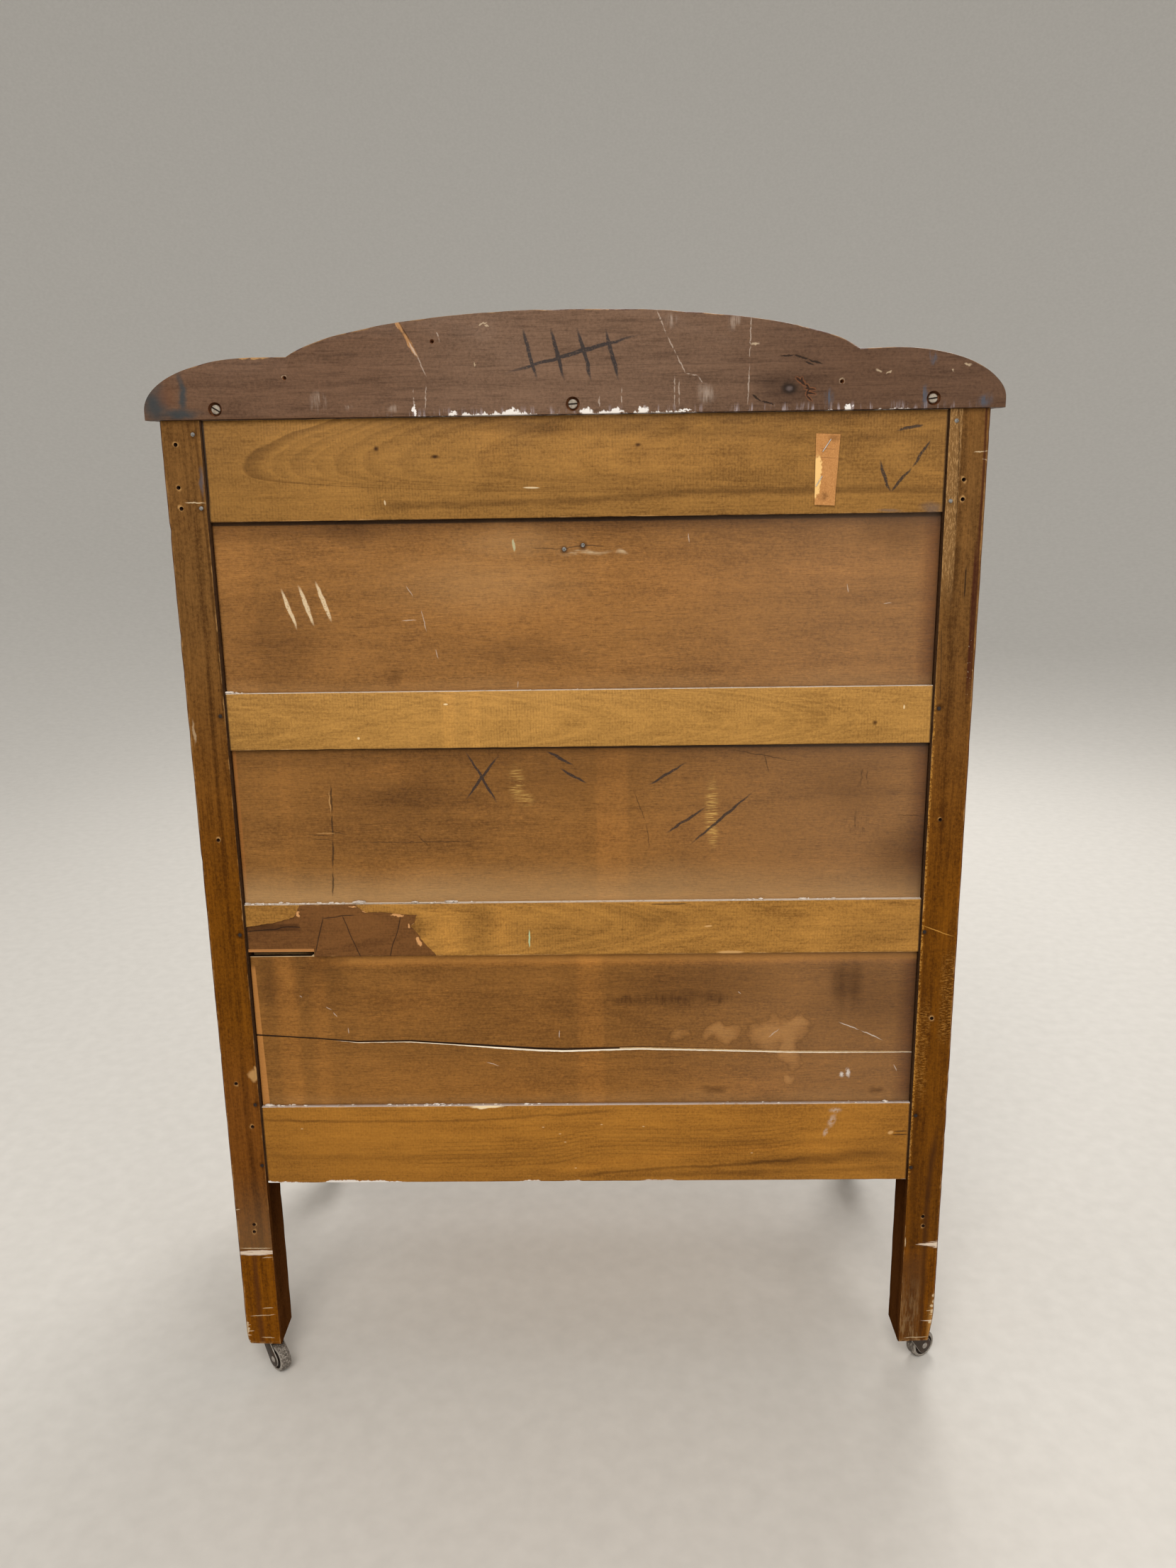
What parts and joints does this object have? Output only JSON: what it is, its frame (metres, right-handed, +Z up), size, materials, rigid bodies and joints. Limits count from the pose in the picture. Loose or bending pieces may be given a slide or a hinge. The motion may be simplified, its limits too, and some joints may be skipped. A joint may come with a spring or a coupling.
{
  "type": "chest of drawers",
  "caption": "Tall wooden chest of drawers on swivel casters, with a framed and panelled back, turned knobs and a shaped gallery board along the back of its top.",
  "frame": {"origin": "on the floor, under the middle of the whole object", "axes": "+Z up, -Y out of the drawer fronts, +X to the right seen from the front"},
  "size_m": [0.886, 0.504, 1.2642],
  "materials": {
    "stained_wood": "dark stain under worn satin varnish",
    "post_wood": "aged brown stain, worn on the edges",
    "rail_wood": "aged golden wood, band-sawn",
    "panel_wood": "thin brown panel, dusty",
    "gallery_wood": "dark brown stain, scratched",
    "drawer_wood": "bare aged wood",
    "knob_wood": "turned and varnished",
    "caster_steel": "dark stamped steel, worn bright on the edges",
    "caster_wheel": "dark turned wheel"
  },
  "bodies": {
    "case": {"post_front_left": "post_wood", "post_front_right": "post_wood", "post_rear_left": "post_wood", "post_rear_right": "post_wood", "side_panel_left": "stained_wood", "side_top_rail_left": "stained_wood", "side_bottom_rail_left": "stained_wood", "side_panel_right": "stained_wood", "side_top_rail_right": "stained_wood", "side_bottom_rail_right": "stained_wood", "back_top_rail": "rail_wood", "back_upper_rail": "rail_wood", "back_lower_rail": "rail_wood", "back_bottom_rail": "rail_wood", "back_panel_upper": "panel_wood", "back_panel_middle": "panel_wood", "back_panel_lower": "panel_wood", "top_board": "stained_wood", "gallery": "gallery_wood", "drawer_frame_top": "drawer_wood", "drawer_frame_upper": "drawer_wood", "drawer_frame_middle": "drawer_wood", "drawer_frame_lower": "drawer_wood", "drawer_frame_bottom": "drawer_wood"},
    "drawer_1": {"drawer_1_front": "stained_wood", "drawer_1_side_left": "drawer_wood", "drawer_1_side_right": "drawer_wood", "drawer_1_back": "drawer_wood", "drawer_1_bottom": "drawer_wood", "drawer_1_knob_left": "knob_wood", "drawer_1_knob_right": "knob_wood"},
    "drawer_2": {"drawer_2_front": "stained_wood", "drawer_2_side_left": "drawer_wood", "drawer_2_side_right": "drawer_wood", "drawer_2_back": "drawer_wood", "drawer_2_bottom": "drawer_wood", "drawer_2_knob_left": "knob_wood", "drawer_2_knob_right": "knob_wood"},
    "drawer_3": {"drawer_3_front": "stained_wood", "drawer_3_side_left": "drawer_wood", "drawer_3_side_right": "drawer_wood", "drawer_3_back": "drawer_wood", "drawer_3_bottom": "drawer_wood", "drawer_3_knob_left": "knob_wood", "drawer_3_knob_right": "knob_wood"},
    "drawer_4": {"drawer_4_front": "stained_wood", "drawer_4_side_left": "drawer_wood", "drawer_4_side_right": "drawer_wood", "drawer_4_back": "drawer_wood", "drawer_4_bottom": "drawer_wood", "drawer_4_knob_left": "knob_wood", "drawer_4_knob_right": "knob_wood"},
    "caster_front_left": {"caster_fork_front_left": "caster_steel"},
    "wheel_front_left": {"caster_wheel_front_left": "caster_wheel"},
    "caster_front_right": {"caster_fork_front_right": "caster_steel"},
    "wheel_front_right": {"caster_wheel_front_right": "caster_wheel"},
    "caster_rear_left": {"caster_fork_rear_left": "caster_steel"},
    "wheel_rear_left": {"caster_wheel_rear_left": "caster_wheel"},
    "caster_rear_right": {"caster_fork_rear_right": "caster_steel"},
    "wheel_rear_right": {"caster_wheel_rear_right": "caster_wheel"}
  },
  "joints": [
    {"name": "drawer_1_slide", "type": "slide", "parent": "case", "child": "drawer_1", "axis": [0, -1, 0], "range_m": [0, 0.32]},
    {"name": "drawer_2_slide", "type": "slide", "parent": "case", "child": "drawer_2", "axis": [0, -1, 0], "range_m": [0, 0.32]},
    {"name": "drawer_3_slide", "type": "slide", "parent": "case", "child": "drawer_3", "axis": [0, -1, 0], "range_m": [0, 0.32]},
    {"name": "drawer_4_slide", "type": "slide", "parent": "case", "child": "drawer_4", "axis": [0, -1, 0], "range_m": [0, 0.32]},
    {"name": "caster_front_left_swivel", "type": "hinge", "parent": "case", "child": "caster_front_left", "pos_m": [-0.40825, -0.197, 0.044], "axis": [0, 0, 1], "continuous": true},
    {"name": "wheel_front_left_roll", "type": "hinge", "parent": "caster_front_left", "child": "wheel_front_left", "pos_m": [-0.41397, -0.2146, 0.0175], "axis": [0.9511, -0.309, 0], "continuous": true},
    {"name": "caster_front_right_swivel", "type": "hinge", "parent": "case", "child": "caster_front_right", "pos_m": [0.40825, -0.197, 0.044], "axis": [0, 0, 1], "continuous": true},
    {"name": "wheel_front_right_roll", "type": "hinge", "parent": "caster_front_right", "child": "wheel_front_right", "pos_m": [0.41273, -0.21495, 0.0175], "axis": [0.9703, 0.2419, 0], "continuous": true},
    {"name": "caster_rear_left_swivel", "type": "hinge", "parent": "case", "child": "caster_rear_left", "pos_m": [-0.40825, 0.221, 0.044], "axis": [0, 0, 1], "continuous": true},
    {"name": "wheel_rear_left_roll", "type": "hinge", "parent": "caster_rear_left", "child": "wheel_rear_left", "pos_m": [-0.42443, 0.21203, 0.0175], "axis": [0.4848, -0.8746, 0], "continuous": true},
    {"name": "caster_rear_right_swivel", "type": "hinge", "parent": "case", "child": "caster_rear_right", "pos_m": [0.40825, 0.221, 0.044], "axis": [0, 0, 1], "continuous": true},
    {"name": "wheel_rear_right_roll", "type": "hinge", "parent": "caster_rear_right", "child": "wheel_rear_right", "pos_m": [0.39494, 0.23385, 0.0175], "axis": [-0.6947, -0.7193, 0], "continuous": true}
  ]
}
